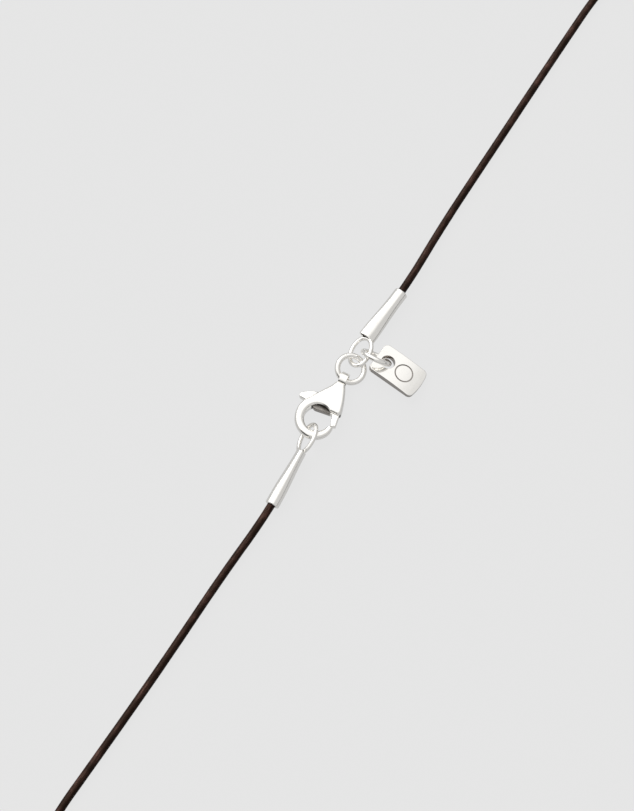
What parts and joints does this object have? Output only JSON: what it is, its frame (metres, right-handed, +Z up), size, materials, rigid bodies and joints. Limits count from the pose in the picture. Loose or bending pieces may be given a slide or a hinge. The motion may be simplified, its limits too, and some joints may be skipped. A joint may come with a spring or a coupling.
{
  "type": "leather cord necklace",
  "caption": "Dark brown round leather cord necklace with silver end caps, a lobster clasp, rings and a small blank tag, laid flat and closed.",
  "frame": {"origin": "on the surface that the necklace lies on, under the middle of the metal pieces", "axes": "+X right and +Y away from the viewer along the surface, +Z up off the surface"},
  "size_m": [0.1272, 0.1887, 0.0059],
  "materials": {
    "leather": "satin, dark espresso brown",
    "silver": "polished silver"
  },
  "bodies": {
    "necklace": {"leather_cord": "leather", "upper_end_cap": "silver", "lower_end_cap": "silver", "jump_ring": "silver", "tag_ring": "silver", "tag": "silver", "clasp_body": "silver"},
    "lever": {"clasp_lever": "silver"}
  },
  "joints": [
    {"name": "clasp_lever", "type": "hinge", "parent": "necklace", "child": "lever", "pos_m": [-0.00227, -0.00086, 0.00168], "axis": [-0.0248, -0.05, -0.9984], "range_deg": [0, 25], "stiffness_Nm_per_rad": 0.002, "springref_deg": -11.46}
  ]
}
